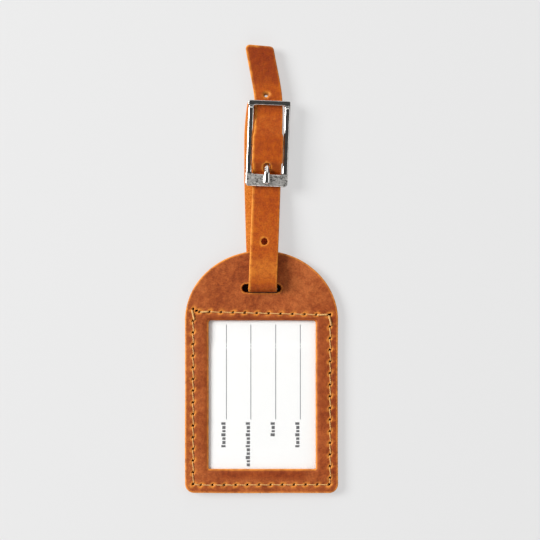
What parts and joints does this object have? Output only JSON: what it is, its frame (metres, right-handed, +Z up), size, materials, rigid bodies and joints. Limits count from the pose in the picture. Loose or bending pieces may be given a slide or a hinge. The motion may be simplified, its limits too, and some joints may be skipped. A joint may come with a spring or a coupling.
{
  "type": "luggage tag",
  "caption": "Leather luggage tag with a stitched card window, a slot at the arched top and a buckled leather strap loop.",
  "frame": {"origin": "bottom centre of the bounding box, tag lying on its back", "axes": "+X right across the tag, +Y along the strap away from the tag's bottom edge, +Z up out of the window side"},
  "size_m": [0.07, 0.2052, 0.01],
  "materials": {
    "panel_leather": "waxed, mottled",
    "strap_leather": "waxed, mottled",
    "thread": "waxed thread",
    "card": "smooth printed card",
    "clear_sheet": "clear flexible sheet",
    "buckle_metal": "polished nickel, worn"
  },
  "bodies": {
    "tag": {"front_panel": "panel_leather", "back_panel": "panel_leather", "window_sheet": "clear_sheet", "thread_left": "thread", "thread_right": "thread", "thread_bottom": "thread", "thread_top": "thread", "strap_slot": "strap_leather", "strap_front_bend": "strap_leather", "strap_back_bend": "strap_leather"},
    "card": {"address_card": "card"},
    "loop": {"strap_front": "strap_leather", "strap_back": "strap_leather", "strap_turned_end": "strap_leather", "fold_thread": "thread", "strap_tip_bend": "strap_leather"},
    "tip": {"strap_tip": "strap_leather"},
    "buckle": {"buckle_frame": "buckle_metal", "buckle_centre_bar": "buckle_metal"},
    "prong": {"buckle_prong": "buckle_metal"}
  },
  "joints": [
    {"name": "card_slide", "type": "slide", "parent": "tag", "child": "card", "axis": [0, 1, 0], "range_m": [0, 0.01]},
    {"name": "loop_bend", "type": "hinge", "parent": "tag", "child": "loop", "pos_m": [0, 0.00942, 0.003], "axis": [1, 0, 0], "range_deg": [-60, 60], "stiffness_Nm_per_rad": 0.02, "deforming": ["strap_front_bend", "strap_back_bend"]},
    {"name": "tip_bend", "type": "hinge", "parent": "loop", "child": "tip", "pos_m": [0.0027, 0.07962, 0.00485], "axis": [1, 0, 0], "range_deg": [-6, 35], "stiffness_Nm_per_rad": 0.02, "deforming": ["strap_tip_bend"]},
    {"name": "buckle_rock", "type": "hinge", "parent": "loop", "child": "buckle", "pos_m": [0.00303, 0.05802, 0.0057], "axis": [0.9993, -0.0384, 0], "range_deg": [-0.6, 0.6]},
    {"name": "prong_swing", "type": "hinge", "parent": "buckle", "child": "prong", "pos_m": [0.00303, 0.05802, 0.0057], "axis": [0.9993, -0.0384, 0], "range_deg": [-2, 0]}
  ]
}
